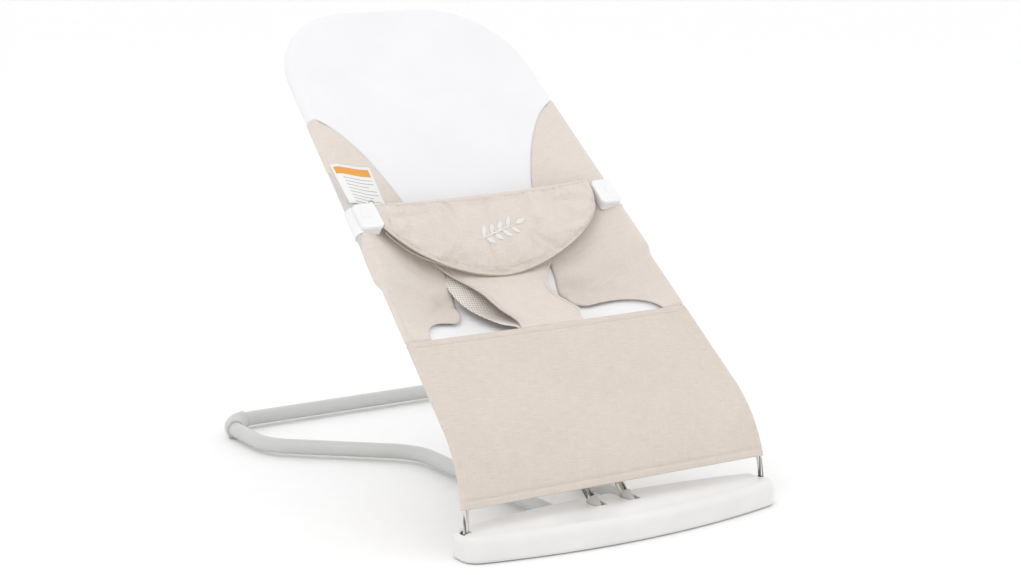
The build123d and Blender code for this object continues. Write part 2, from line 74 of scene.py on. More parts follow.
# ------------------------------------------------------------------ seat coordinates
# u across, v up the slope from the knee, n out of the seat, all in millimetres; v < 0 runs down the knee
NORMAL = -np.array(joints["release_left"]["axis"])
NORMAL /= np.linalg.norm(NORMAL)
UP_SLOPE = np.array([0.0, NORMAL[2], -NORMAL[1]])
KNEE = np.array(joints["harness_open"]["pos_m"]) * 1000 - 117.0 * UP_SLOPE - 1.5 * NORMAL
KNEE_R = 135.0
TURN = math.atan2(NORMAL[2], -NORMAL[1])
CENTRE = KNEE - KNEE_R * NORMAL
RAIL_R, WIRE_R = 8.0, 3.0
HEAD_V, CORNER_R, LEAN = 607.0, 106.0, math.atan(0.063)
CORNER_U, CORNER_V = 50.62, HEAD_V - CORNER_R     # centre of the head's rounded corner


def half(v):
    """Half width of the seat to the rail's or wire's centreline."""
    return 188.4 - 0.063 * np.asarray(v, float)


def place(u, v, n):
    """Seat coordinates in millimetres to the row frame in metres."""
    u, v, n = np.broadcast_arrays(*(np.asarray(a, float) for a in (u, v, n)))
    angle = np.maximum(TURN + v / KNEE_R, 0.0)
    below = np.minimum(v + TURN * KNEE_R, 0.0)
    bent = (CENTRE + np.stack([u, -(KNEE_R + n) * np.cos(angle), (KNEE_R + n) * np.sin(angle)], -1)
            + np.stack([u * 0, u * 0, below], -1))
    flat = KNEE + u[..., None] * np.array([1.0, 0, 0]) + v[..., None] * UP_SLOPE + n[..., None] * NORMAL
    return np.where((v < 0)[..., None], bent, flat) / 1000.0


def seat_coords(points):
    """Row-frame points in metres back to (u, v, n) in millimetres."""
    p = np.asarray(points) * 1000.0
    flat = p - KNEE
    v, n = flat @ UP_SLOPE, flat @ NORMAL
    rel = p - CENTRE
    angle = np.arctan2(rel[:, 2], -rel[:, 1])
    radius = np.hypot(rel[:, 1], rel[:, 2])
    below = v < 0
    return p[:, 0], np.where(below, (angle - TURN) * KNEE_R, v), np.where(below, radius - KNEE_R, n)


def smooth(x, low, high):
    t = np.clip((np.asarray(x, float) - low) / (high - low), 0, 1)
    return t * t * (3 - 2 * t)


def bump(u, v, u0, v0, across, along, turn_deg=0.0):
    """A soft elongated hump, 1 at its middle."""
    c, s = math.cos(math.radians(turn_deg)), math.sin(math.radians(turn_deg))
    a, b = (u - u0) * c + (v - v0) * s, -(u - u0) * s + (v - v0) * c
    return np.exp(-(a / across) ** 2 - (b / along) ** 2)


# ------------------------------------------------------------------ mesh helpers
def piece_from(name, points, faces):
    mesh = bpy.data.meshes.new(name)
    mesh.from_pydata([tuple(p) for p in points], [], [tuple(int(i) for i in f) for f in faces])
    mesh.validate()
    mesh.polygons.foreach_set("use_smooth", [True] * len(mesh.polygons))
    mesh.update()
    obj = bpy.data.objects.new(name, mesh)
    bpy.context.scene.collection.objects.link(obj)
    return obj


def grid_faces(rows, cols, start=0, wrap=False):
    faces = []
    for r in range(rows - 1):
        for c in range(cols if wrap else cols - 1):
            d = (c + 1) % cols
            faces.append((start + r * cols + c, start + r * cols + d,
                          start + (r + 1) * cols + d, start + (r + 1) * cols + c))
    return faces


def grid_piece(name, points, flip=False):
    rows, cols = points.shape[:2]
    faces = grid_faces(rows, cols)
    if flip:
        faces = [f[::-1] for f in faces]
    return piece_from(name, points.reshape(-1, 3), faces)


def joined(name, parts):
    """One object from (points, faces) pairs."""
    points, faces, start = [], [], 0
    for p, f in parts:
        points.append(np.asarray(p, float).reshape(-1, 3))
        faces += [tuple(start + i for i in face) for face in f]
        start += len(points[-1])
    return piece_from(name, np.concatenate(points), faces)


def baked(obj):
    """Replace the mesh with what its modifiers make of it."""
    bpy.context.view_layer.update()
    graph = bpy.context.evaluated_depsgraph_get()
    mesh = bpy.data.meshes.new_from_object(obj.evaluated_get(graph), depsgraph=graph)
    obj.modifiers.clear()
    obj.data = mesh
    return obj


def thicken(obj, thickness, offset=-1.0, bevel=0.0):
    solid = obj.modifiers.new("solid", "SOLIDIFY")
    solid.thickness, solid.offset = thickness / 1000, offset
    if bevel:
        edge = obj.modifiers.new("bevel", "BEVEL")
        edge.width, edge.segments, edge.angle_limit = bevel / 1000, 2, math.radians(50)
    baked(obj)
    obj.data.polygons.foreach_set("use_smooth", [True] * len(obj.data.polygons))
    return obj


def cloth_uv(obj):
    """Lay the weave out in metres of seat coordinates."""
    mesh = obj.data
    layer = mesh.uv_layers.get("weave") or mesh.uv_layers.new(name="weave")
    points = np.zeros(len(mesh.vertices) * 3)
    mesh.vertices.foreach_get("co", points)
    u, v, _ = seat_coords(points.reshape(-1, 3))
    index = np.zeros(len(mesh.loops), int)
    mesh.loops.foreach_get("vertex_index", index)
    layer.data.foreach_set("uv", np.stack([u[index], v[index]], 1).ravel() / 1000.0)


def tube_parts(path, radius, sides=12, closed=False, caps=True):
    """Points and faces of a round tube along a list of points."""
    path = np.asarray(path, float)
    count = len(path)
    if closed:
        tangent = np.roll(path, -1, 0) - np.roll(path, 1, 0)
    else:
        tangent = np.gradient(path, axis=0)
    tangent /= np.linalg.norm(tangent, axis=1)[:, None]
    ring, normal = [], None
    for i in range(count):
        t = tangent[i]
        if normal is None:
            seed = np.array([0, 0, 1.0]) if abs(t[2]) < 0.9 else np.array([1.0, 0, 0])
            normal = np.cross(t, seed)
        normal = normal - t * (normal @ t)
        normal /= np.linalg.norm(normal)
        other = np.cross(t, normal)
        a = np.arange(sides) / sides * 2 * math.pi
        r = radius[i] if np.ndim(radius) else radius
        ring.append(path[i] + r * (np.cos(a)[:, None] * normal + np.sin(a)[:, None] * other))
    points = np.concatenate(ring)
    faces = grid_faces(count, sides, wrap=True)
    if closed:
        faces += [((count - 1) * sides + c, (count - 1) * sides + (c + 1) % sides, (c + 1) % sides, c)
                  for c in range(sides)]
    elif caps:
        faces += [tuple(range(sides))[::-1], tuple((count - 1) * sides + c for c in range(sides))]
    return points, faces


def dress(obj, material, body=None, stands_for=()):
    """Give a piece its material and body, and hide the CAD nodes that it stands for."""
    obj.data.materials.clear()
    obj.data.materials.append(material)
    if body:
        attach(obj, body)
    if stands_for:
        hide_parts(*stands_for)
    return obj


# ------------------------------------------------------------------ materials
def new_material(name, color, roughness=0.5, **sockets):
    material = bpy.data.materials.new(name)
    material.use_nodes = True
    tree = material.node_tree
    shader = tree.nodes["Principled BSDF"]
    shader.inputs["Base Color"].default_value = (*color, 1)
    shader.inputs["Roughness"].default_value = roughness
    for key, value in sockets.items():
        shader.inputs[key.replace("_", " ")].default_value = value
    return material, tree, shader


def add(tree, kind, inputs=None, **settings):
    node = tree.nodes.new(kind)
    for key, value in settings.items():
        setattr(node, key, value)
    for key, value in (inputs or {}).items():
        if isinstance(value, bpy.types.NodeSocket):
            tree.links.new(value, node.inputs[key])
        else:
            node.inputs[key].default_value = value
    return node


def scaled(tree, source, scale, rotation=0.0):
    node = add(tree, "ShaderNodeMapping", {"Vector": source, "Scale": scale, "Rotation": (0, 0, rotation)})
    return node.outputs["Vector"]


def noise(tree, vector, scale, detail=3.0, roughness=0.55):
    node = add(tree, "ShaderNodeTexNoise", {"Vector": vector, "Scale": scale, "Detail": detail,
                                            "Roughness": roughness})
    return node.outputs["Fac"]


def math_node(tree, operation, a, b=0.0, c=0.0):
    return add(tree, "ShaderNodeMath", {0: a, 1: b, 2: c}, operation=operation).outputs[0]


def between(tree, factor, low, high):
    node = add(tree, "ShaderNodeMix", {0: factor}, data_type="RGBA")
    for index, value in ((6, low), (7, high)):
        if isinstance(value, bpy.types.NodeSocket):
            tree.links.new(value, node.inputs[index])
        else:
            node.inputs[index].default_value = (*value, 1)
    return node.outputs[2]


def remap(tree, value, low, high, out_low=0.0, out_high=1.0):
    node = add(tree, "ShaderNodeMapRange", {0: value, 1: low, 2: high, 3: out_low, 4: out_high})
    return node.outputs[0]


def bump_into(tree, shader, height, strength, distance):
    node = add(tree, "ShaderNodeBump", {"Height": height, "Strength": strength, "Distance": distance})
    tree.links.new(node.outputs["Normal"], shader.inputs["Normal"])


def weave_material(name, dark, light, pitch, slub, mottle, roughness=0.92, sheen=0.25, depth=0.00018):
    """Plain weave: warp and weft threads that pass over and under each other, with slubs along both."""
    material, tree, shader = new_material(name, light, roughness, Sheen_Weight=sheen, Sheen_Roughness=0.5,
                                          Specular_IOR_Level=0.25)
    uv = add(tree, "ShaderNodeUVMap", uv_map="weave").outputs["UV"]
    split = add(tree, "ShaderNodeSeparateXYZ", {0: uv})
    frequency = 2 * math.pi / pitch
    drift = noise(tree, uv, 60.0, 2.0)
    x = math_node(tree, "MULTIPLY_ADD", drift, pitch * 1.5, split.outputs["X"])
    y = math_node(tree, "MULTIPLY_ADD", drift, pitch * 1.5, split.outputs["Y"])
    warp = math_node(tree, "SINE", math_node(tree, "MULTIPLY", x, frequency))
    weft = math_node(tree, "SINE", math_node(tree, "MULTIPLY", y, frequency))
    thread = math_node(tree, "MULTIPLY", warp, weft)
    along = noise(tree, scaled(tree, uv, (60, 1500, 1)), 1.0, 3.0)
    across = noise(tree, scaled(tree, uv, (1500, 60, 1)), 1.0, 3.0)
    streak = math_node(tree, "ADD", math_node(tree, "MULTIPLY", along, 0.62),
                       math_node(tree, "MULTIPLY", across, 0.38))
    streak = remap(tree, streak, 0.36, 0.64)
    cloud = remap(tree, noise(tree, uv, 9.0, 4.0, 0.6), 0.3, 0.7)
    tone = math_node(tree, "ADD", math_node(tree, "MULTIPLY", streak, slub),
                     math_node(tree, "MULTIPLY", cloud, mottle))
    tone = math_node(tree, "ADD", tone, math_node(tree, "MULTIPLY", thread, 0.10))
    tone = math_node(tree, "ADD", tone, 0.5 - (slub + mottle) / 2)
    tree.links.new(between(tree, tone, dark, light), shader.inputs["Base Color"])
    height = math_node(tree, "ADD", thread, math_node(tree, "MULTIPLY", streak, 1.4))
    bump_into(tree, shader, height, 0.55, depth)
    return material


def knit_material(name, dark, light, pitch):
    """Fine smooth knit: short rows of loops, hardly seen."""
    material, tree, shader = new_material(name, light, 0.9, Sheen_Weight=0.2, Specular_IOR_Level=0.2)
    uv = add(tree, "ShaderNodeUVMap", uv_map="weave").outputs["UV"]
    rows = add(tree, "ShaderNodeTexWave", {"Vector": uv, "Scale": 0.314 / pitch, "Distortion": 0.4},
               bands_direction="X").outputs["Fac"]
    loops = add(tree, "ShaderNodeTexWave", {"Vector": uv, "Scale": 0.314 / pitch, "Distortion": 0.6},
                bands_direction="Y").outputs["Fac"]
    knit = math_node(tree, "MULTIPLY", rows, loops)
    cloud = remap(tree, noise(tree, uv, 14.0, 4.0), 0.3, 0.7)
    tone = math_node(tree, "ADD", math_node(tree, "MULTIPLY", knit, 0.35),
                     math_node(tree, "MULTIPLY", cloud, 0.3))
    tree.links.new(between(tree, tone, dark, light), shader.inputs["Base Color"])
    bump_into(tree, shader, knit, 0.35, 0.00012)
    return material


def mesh_material(name, thread_color, hole_shade_color, pitch):
    """Open spacer mesh: small square holes between knitted ribs, the holes coloured with painted shade."""
    material, tree, shader = new_material(name, thread_color, 0.88, Sheen_Weight=0.2, Specular_IOR_Level=0.2)
    uv = add(tree, "ShaderNodeUVMap", uv_map="weave").outputs["UV"]
    turned = scaled(tree, uv, (1, 1, 1), math.radians(8))
    split = add(tree, "ShaderNodeSeparateXYZ", {0: turned})
    cells = []
    for axis in ("X", "Y"):
        wave = math_node(tree, "SINE", math_node(tree, "MULTIPLY", split.outputs[axis], 2 * math.pi / pitch))
        cells.append(remap(tree, wave, -0.25, 0.45))
    hole = math_node(tree, "MULTIPLY", cells[0], cells[1])
    plain_foot = remap(tree, add(tree, "ShaderNodeSeparateXYZ", {0: uv}).outputs["Y"], 0.134, 0.156)
    hole = math_node(tree, "MULTIPLY", hole, plain_foot)
    # the holes take a dark colour: painted shade in the mesh's depth
    tree.links.new(between(tree, hole, thread_color, hole_shade_color), shader.inputs["Base Color"])
    bump_into(tree, shader, math_node(tree, "SUBTRACT", 1.0, hole), 0.8, 0.0005)
    return material


def plastic_material(name, color, roughness, grain, coat=0.0):
    """Moulded plastic: fine spark texture, slight cloudiness, handling scuffs."""
    material, tree, shader = new_material(name, color, roughness, Specular_IOR_Level=0.45, Coat_Weight=coat,
                                          Coat_Roughness=0.25)
    place_in = add(tree, "ShaderNodeTexCoord").outputs["Object"]
    fine = noise(tree, place_in, 2600.0, 2.0)
    cloud = remap(tree, noise(tree, place_in, 18.0, 4.0), 0.35, 0.65)
    scuff = remap(tree, noise(tree, scaled(tree, place_in, (30, 260, 60)), 1.0, 5.0, 0.7), 0.62, 0.8)
    darker = tuple(c * 0.955 for c in color)
    tree.links.new(between(tree, cloud, color, darker), shader.inputs["Base Color"])
    rough = math_node(tree, "ADD", roughness - 0.03, math_node(tree, "MULTIPLY", cloud, 0.06))
    rough = math_node(tree, "ADD", rough, math_node(tree, "MULTIPLY", scuff, 0.12))
    tree.links.new(rough, shader.inputs["Roughness"])
    bump_into(tree, shader, fine, grain, 0.00006)
    return material


def paint_material(name, color):
    """Powder coat on tube: fine orange peel and faint rub marks."""
    material, tree, shader = new_material(name, color, 0.34, Specular_IOR_Level=0.5, Coat_Weight=0.15,
                                          Coat_Roughness=0.3)
    place_in = add(tree, "ShaderNodeTexCoord").outputs["Object"]
    peel = noise(tree, place_in, 900.0, 2.0)
    rub = remap(tree, noise(tree, place_in, 26.0, 5.0, 0.65), 0.5, 0.75)
    tree.links.new(between(tree, rub, color, tuple(c * 0.94 for c in color)), shader.inputs["Base Color"])
    rough = math_node(tree, "ADD", 0.3, math_node(tree, "MULTIPLY", rub, 0.14))
    tree.links.new(rough, shader.inputs["Roughness"])
    bump_into(tree, shader, peel, 0.25, 0.00008)
    return material


def metal_material(name, color, roughness, brush, streak=0.0):
    """Bright drawn wire: drawing lines along it, small smears, and dark streaks of painted reflection that stand
    in for what polished chrome reflects.
    """
    material, tree, shader = new_material(name, color, roughness, Metallic=1.0)
    place_in = add(tree, "ShaderNodeTexCoord").outputs["Object"]
    lines = noise(tree, scaled(tree, place_in, (1800, 40, 40)), 1.0, 3.0)
    smear = remap(tree, noise(tree, place_in, 45.0, 4.0), 0.4, 0.7)
    # painted reflection: near-black streaks laid along the metal in place of the surroundings that chrome reflects
    dark = remap(tree, noise(tree, scaled(tree, place_in, (420, 60, 12)), 1.0, 1.0), 0.50, 0.60, 0.0, streak)
    tone = between(tree, smear, color, tuple(c * 0.86 for c in color))
    tree.links.new(between(tree, dark, tone, (0.06, 0.055, 0.05)), shader.inputs["Base Color"])
    rough = math_node(tree, "ADD", roughness, math_node(tree, "MULTIPLY", smear, 0.12))
    tree.links.new(rough, shader.inputs["Roughness"])
    bump_into(tree, shader, lines, brush, 0.00004)
    return material


def rubber_material(name, color):
    material, tree, shader = new_material(name, color, 0.75, Specular_IOR_Level=0.3)
    place_in = add(tree, "ShaderNodeTexCoord").outputs["Object"]
    ribs = add(tree, "ShaderNodeTexWave", {"Vector": place_in, "Scale": 90.0, "Distortion": 1.2},
               bands_direction="DIAGONAL").outputs["Fac"]
    dust = remap(tree, noise(tree, place_in, 60.0, 5.0), 0.4, 0.7)
    tree.links.new(between(tree, dust, color, tuple(c * 0.85 for c in color)), shader.inputs["Base Color"])
    bump_into(tree, shader, math_node(tree, "ADD", ribs, dust), 0.5, 0.0003)
    return material


THREAD = 0.0011             # pitch of the cloth's threads, in metres
FINE_THREAD = 0.0004
linen = weave_material("linen", (0.570, 0.493, 0.425), (0.772, 0.702, 0.638), THREAD, 0.52, 0.14)
pale_linen = weave_material("pale_linen", (0.625, 0.545, 0.485), (0.812, 0.747, 0.692), THREAD, 0.48, 0.14)
white_knit = knit_material("white_knit", (0.78, 0.78, 0.795), (0.86, 0.86, 0.876), THREAD)
# painted light: a lighter copy of the white knit, lifting the shaded under-cover seen in the leg openings
painted_light_cover_knit = knit_material("painted_light_cover_knit", (0.86, 0.86, 0.868), (0.93, 0.93, 0.938), THREAD)
# thread colour partly the net's own, partly lifted to offset the strap's shadow (painted light); the hole colour
# is painted shade
mesh_net = mesh_material("mesh_net", (0.82, 0.77, 0.72), (0.50, 0.45, 0.41), 0.0030)
thread_pale = weave_material("thread_pale", (0.62, 0.56, 0.50), (0.80, 0.74, 0.67),
                             FINE_THREAD, 0.2, 0.1, 0.8)
# dark thread of the belt's loop, also the colour of the painted shadow line under the belt
dark_thread_and_shadow = weave_material("dark_thread_and_shadow", (0.40, 0.33, 0.27), (0.52, 0.44, 0.37),
                             FINE_THREAD, 0.2, 0.1, 0.85)
motif_thread = weave_material("motif_thread", (0.80, 0.78, 0.75), (0.92, 0.90, 0.88),
                              FINE_THREAD, 0.2, 0.1, 0.6)
label_cloth = knit_material("label_cloth", (0.78, 0.78, 0.77), (0.88, 0.88, 0.87), 0.0006)
label_orange = knit_material("label_orange", (0.72, 0.32, 0.05), (0.86, 0.42, 0.09), 0.0006)
label_ink = knit_material("label_ink", (0.36, 0.36, 0.38), (0.48, 0.48, 0.50), 0.0006)
foot_plastic = plastic_material("foot_plastic", (0.780, 0.772, 0.762), 0.34, 0.12, 0.1)
clip_plastic = plastic_material("clip_plastic", (0.83, 0.83, 0.835), 0.42, 0.2)
grey_plastic = plastic_material("grey_plastic", (0.60, 0.59, 0.57), 0.5, 0.25)
white_paint = paint_material("white_paint", (0.565, 0.570, 0.555))
# its dark streaks are painted reflection
bright_steel_painted_reflection = metal_material("bright_steel_painted_reflection", (0.72, 0.70, 0.675), 0.12, 0.2, 0.85)
plain_steel = metal_material("plain_steel", (0.55, 0.55, 0.56), 0.32, 0.35)
pad_rubber = rubber_material("pad_rubber", (0.62, 0.62, 0.61))

SLOT_MATERIAL = {"foot_white": foot_plastic, "clip_white": clip_plastic, "inner_plastic": grey_plastic,
                 "pad_rubber": pad_rubber, "tube_white": white_paint, "bright_wire": bright_steel_painted_reflection,
                 "steel": plain_steel}
for entry in frame["record"]["subparts"]:
    if entry["material_slot"] in SLOT_MATERIAL:
        node = nodes[entry["node"]]
        node.data.materials.clear()
        node.data.materials.append(SLOT_MATERIAL[entry["material_slot"]])

# ------------------------------------------------------------------ shape of the seat's cloth
LAP_V, HEM_V = 113.0, -91.0  # top edge and foot of the lower panel
HEM_ROW, LAP_ROW = HEM_V + 9, LAP_V - 7     # its two sewn rows
TUCK = 1.9                  # how far the flanks pass below the lower panel
SLEEVE_V = 441.0            # above it the pale cloth wraps right round the head tube
SAG_MAX, SAG_V, SAG_TOP_V = 44.0, 190.0, 470.0


def through(stations, values, at):
    """Smooth curve through values at the given stations."""
    x, y, at = (np.asarray(a, float) for a in (stations, values, at))
    slope = np.gradient(y, x)
    i = np.clip(np.searchsorted(x, at) - 1, 0, len(x) - 2)
    h = x[i + 1] - x[i]
    t = np.clip((at - x[i]) / h, 0, 1)
    return ((2 * t ** 3 - 3 * t ** 2 + 1) * y[i] + (t ** 3 - 2 * t ** 2 + t) * h * slope[i]
            + (3 * t ** 2 - 2 * t ** 3) * y[i + 1] + (t ** 3 - t ** 2) * h * slope[i + 1])


def along_chord(points, count):
    """Resample a short list of points as a smooth curve of evenly spaced points."""
    points = np.asarray(points, float)
    chord = np.concatenate([[0], np.cumsum(np.linalg.norm(np.diff(points[:, :2], axis=0), axis=1))])
    at = np.linspace(0, chord[-1], count)
    return np.stack([through(chord, points[:, k], at) for k in range(points.shape[1])], 1)


def wrap_radius(v):
    """Cloth round the wire at the bottom and round the thicker rail above it."""
    return WIRE_R + 1.6 + (RAIL_R - WIRE_R - 0.8) * smooth(v, 190, 207)


def sag(v):
    """Depth of the seat's hollow below its rails."""
    v = np.asarray(v, float)
    above = SAG_MAX * (1 - np.clip((v - SAG_V) / (SAG_TOP_V - SAG_V), 0, 1)) ** 1.4
    under = SAG_MAX - 38.0 * (np.clip(SAG_V - v, 0, 90) / 74.0) ** 2
    return np.where(v >= SAG_V, above, under)


def inside_arch(u, v):
    """Distance in from the rail's centreline, round the head's corners too."""
    across, up = np.abs(u) - CORNER_U, v - CORNER_V
    straight = np.minimum((half(v) - np.abs(u)) * math.cos(LEAN), HEAD_V - v)
    round_it = CORNER_R - np.hypot(np.maximum(across, 0), np.maximum(up, 0))
    return np.where((across > 0) & (up > 0), round_it, straight)


def creases(u, v):
    """Soft folds: from the hollow to the leg openings, across the lap, and down beside the seams."""
    a = np.abs(u)
    w = -2.6 * bump(a, v, 96, 186, 30, 5, -36) + 2.0 * bump(a, v, 104, 199, 34, 7, -30)
    w = w - 1.8 * bump(a, v, 126, 236, 36, 6, 24) + 1.4 * bump(a, v, 120, 260, 42, 9, 12)
    w = w - 1.2 * bump(a, v, 146, 330, 9, 44, 6) + 0.8 * bump(a, v, 124, 352, 10, 40, 4)
    w = w - 1.1 * bump(u, v, 12, 470, 90, 12, 4) + 0.9 * bump(u, v, -30, 520, 80, 16, -6)
    return w - 1.0 * bump(a, v, 110, 540, 20, 30, 40)


def hollow_n(u, v):
    """Top of the cloth: over the rail, down straight flanks, across a soft hollow."""
    u, v = np.broadcast_arrays(np.asarray(u, float), np.asarray(v, float))
    inside = inside_arch(u, v)
    slack = 6.0 + 3.5 * smooth(v, 230, 360) - 2.5 * smooth(v, 430, 560)
    radius, reach, depth = wrap_radius(v), 0.62 * half(v), sag(v) + slack
    slope = 0.5 * math.pi * depth / reach
    cosine = 1 / np.sqrt(1 + slope ** 2)
    t = np.clip(inside / reach, 0, 1)
    bowl = radius / cosine - (depth + radius / cosine - radius) * np.sin(0.5 * math.pi * t)
    over_rail = np.sqrt(np.maximum(radius ** 2 - np.clip(inside, 0, None) ** 2, 0))
    n = np.where(inside < radius * slope * cosine, over_rail, bowl)
    return n + creases(u, v) * smooth(inside, 12, 50)


def merged(obj, distance=0.00002):
    work = bmesh.new()
    work.from_mesh(obj.data)
    bmesh.ops.remove_doubles(work, verts=work.verts, dist=distance)
    work.to_mesh(obj.data)
    work.free()
    obj.data.polygons.foreach_set("use_smooth", [True] * len(obj.data.polygons))
    return obj


def wrap_strip(u, v, out_u, out_v, radius, first, last, steps):
    """Grid of points round a rail: one row for each boundary point, from angle first to last (degrees)."""
    share = np.linspace(0, 1, steps)
    angle = np.radians(np.asarray(first) + (np.asarray(last) - first)[..., None] * share
                       if np.ndim(last) else first + (last - first) * share)
    angle = np.broadcast_to(angle, (len(u), steps))
    radius = np.broadcast_to(radius, (len(u),))[:, None]
    return place(u[:, None] + radius * np.cos(angle) * out_u[:, None],
                 v[:, None] + radius * np.cos(angle) * out_v[:, None], radius * np.sin(angle))


# the seam between the pale back and the seat, then round the leg opening: (u, v, v on the rail beside it)
INNER_EDGE = [(160.6, 441, 441), (150, 434, 435), (133, 416, 424), (113, 385, 402), (98, 352, 374),
              (85.5, 315, 340), (76, 275, 302), (71, 240, 268), (70, 205, 232), (71, 182, 205),
              (77, 167, 187), (88, 159, 173), (104, 157, 160), (121, 152, 147), (137, 142, 135),
              (149, 129, 124), (155, 115, 115), (157, 106, 106)]
SEAM_END_V = 258.0
inner_edge = along_chord(INNER_EDGE, 190)
seam_part = inner_edge[inner_edge[:, 1] >= SEAM_END_V - 6]


def seam_u(v):
    return np.interp(v, seam_part[::-1, 1], seam_part[::-1, 0])


def back_cloth():
    """The pale pillowcase: front down to the belt, round the head tube, and a flat back."""
    cols = 81
    across = np.linspace(-1, 1, cols)
    low_v = np.linspace(SEAM_END_V, SLEEVE_V, 62)[:, None]
    low_edge = seam_u(low_v)
    low_u = low_edge * across
    groove = 1.6 * np.exp(-((low_edge - np.abs(low_u)) / 3.2) ** 2) * smooth(SLEEVE_V - low_v, 0, 14)
    tail = place(low_u, low_v, hollow_n(low_u, low_v) - groove)
    # the head: rings that shrink from its outline towards one middle point
    side_v = np.linspace(SLEEVE_V, CORNER_V + CORNER_R * math.sin(LEAN), 22)[1:]
    arc = np.linspace(LEAN, 0.5 * math.pi, 34)[1:]
    right = np.stack([np.concatenate([half(side_v), CORNER_U + CORNER_R * np.cos(arc)]),
                      np.concatenate([side_v, CORNER_V + CORNER_R * np.sin(arc)])], 1)
    top = np.stack([np.linspace(CORNER_U, -CORNER_U, 24)[1:-1], np.full(22, HEAD_V)], 1)
    bottom = np.stack([across * half(SLEEVE_V), np.full(cols, SLEEVE_V)], 1)
    outline = np.concatenate([bottom, right, top, (right * [-1, 1])[::-1]])
    middle = np.array([0.0, 515.0])
    shrink = np.concatenate([np.linspace(0, 0.25, 26), np.linspace(0.25, 0.97, 34)[1:]])[:, None, None]
    rings = outline + (middle - outline) * shrink
    ring_u, ring_v = rings[..., 0], rings[..., 1]
    count = len(outline)
    faces = grid_faces(len(shrink), count, wrap=True)
    cap = tuple(range((len(shrink) - 1) * count, len(shrink) * count))
    front = place(ring_u, ring_v, hollow_n(ring_u, ring_v))
    depth = wrap_radius(ring_v) + 1.5 * smooth(inside_arch(ring_u, ring_v), 0, 70)
    behind = place(ring_u, ring_v, np.minimum(-depth, hollow_n(ring_u, ring_v) - 3.5))
    loop = np.concatenate([outline[cols - 1:], outline[:1]])
    turn = np.arctan2(loop[:, 1] - CORNER_V, np.maximum(np.abs(loop[:, 0]) - CORNER_U, 0))
    turn = np.maximum(turn, LEAN)
    out = np.stack([np.sign(loop[:, 0]) * np.cos(turn), np.sin(turn)], 1)
    sleeve = wrap_strip(*loop.T, *out.T, wrap_radius(loop[:, 1]), 90.0, -90.0, 21)
    parts = [grid_part(tail), (front.reshape(-1, 3), faces + [cap]),
             (behind.reshape(-1, 3), [f[::-1] for f in faces + [cap]]), grid_part(sleeve)]
    return thicken(merged(joined("back_cloth", parts), 0.00006), 0.9)


# how far round the rail the seat cloth reaches, in degrees, by v: the white tube shows beside the clips
SLEEVE_END = [(100, -95), (224, -95), (238, -20), (262, 50), (270, 72), (306, 72), (318, 44), (362, 24),
              (374, -60), (380, -95), (460, -95)]


def flank(side):
    """One side of the seat cloth, from the seam and leg opening over the rail."""
    u0, v0, v1 = inner_edge.T
    share = np.linspace(0, 1, 44)[None, :] ** 0.9
    v = v0[:, None] * (1 - share) + v1[:, None] * share
    u = u0[:, None] * (1 - share) + half(v1)[:, None] * share
    off_inner = np.hypot(u - u0[:, None], v - v0[:, None])
    opening = smooth(v0, 190, 176)[:, None]
    n = hollow_n(u, v) - 1.6 * np.exp(-(off_inner / 3.2) ** 2) * (1 - opening)
    n = n + opening * (1.2 * np.exp(-((off_inner - 3) / 4) ** 2) + 1.5)
    under_lap = lower_n(u, np.minimum(v, LAP_V)) - TUCK + 3 * smooth(v, LAP_V + 0.5, LAP_V + 9)
    n = np.where(v < LAP_V + 9, np.minimum(n, under_lap), n)
    top = place(side * u, v, n)
    last = np.interp(v1, *np.transpose(SLEEVE_END))
    round_rail = wrap_strip(side * half(v1), v1, np.full(len(v1), float(side)), np.full(len(v1), 0.06),
                            wrap_radius(v1) - TUCK * smooth(v1, LAP_V + 5, LAP_V + 0.5), 90.0, last, 18)
    points = np.concatenate([top, round_rail[:, 1:]], 1)
    return grid_part(points, flip=side > 0)


def grid_part(points, flip=False):
    faces = grid_faces(*points.shape[:2])
    return points.reshape(-1, 3), [f[::-1] for f in faces] if flip else faces


def seat_cloth():
    obj = joined("seat_cloth", [flank(-1), flank(1)])
    return thicken(obj, 1.3)


def rear_cover():
    """The pale under-cover: closes the hollow from below and shows in the leg openings."""
    v = np.linspace(LAP_V + 2, 455, 100)[:, None]
    share = np.sin(np.linspace(-0.5, 0.5, 97) * math.pi * 0.92)[None, :] / math.sin(0.46 * math.pi)
    u = (half(v) - 1.5) * share
    inside = half(v) - np.abs(u)
    radius = wrap_radius(v)
    below = -np.sqrt(np.maximum(radius ** 2 - inside ** 2, 0))
    n = np.where(inside < radius, below, hollow_n(u, v) - 3.4)
    return thicken(grid_piece("rear_cover", place(u, v + 0 * u, n), flip=True), 1.0, offset=0)


def lower_n(u, v):
    """Top of the front panel between its two wires, with the hem's fold and two sewn rows pressed in."""
    slack = 1 - (u / half(v)) ** 2
    n = WIRE_R + 1.6 - slack * (1.6 + 1.2 * np.sin((LAP_V - v) / (LAP_V - HEM_V) * math.pi))
    n = n - 0.9 * bump(u, v, -150, 40, 12, 60, 8) - 0.9 * bump(u, v, 150, 40, 12, 60, -8)
    n = n - 0.7 * bump(u, v, -60, -40, 70, 10, 14) + 0.6 * bump(u, v, 40, -10, 80, 12, -10)
    n = n - 0.9 * np.exp(-((v - HEM_ROW) / 1.6) ** 2) + 0.7 * smooth(v, HEM_ROW, HEM_V + 5)
    return n - 0.8 * np.exp(-((LAP_ROW - v) / 1.4) ** 2)


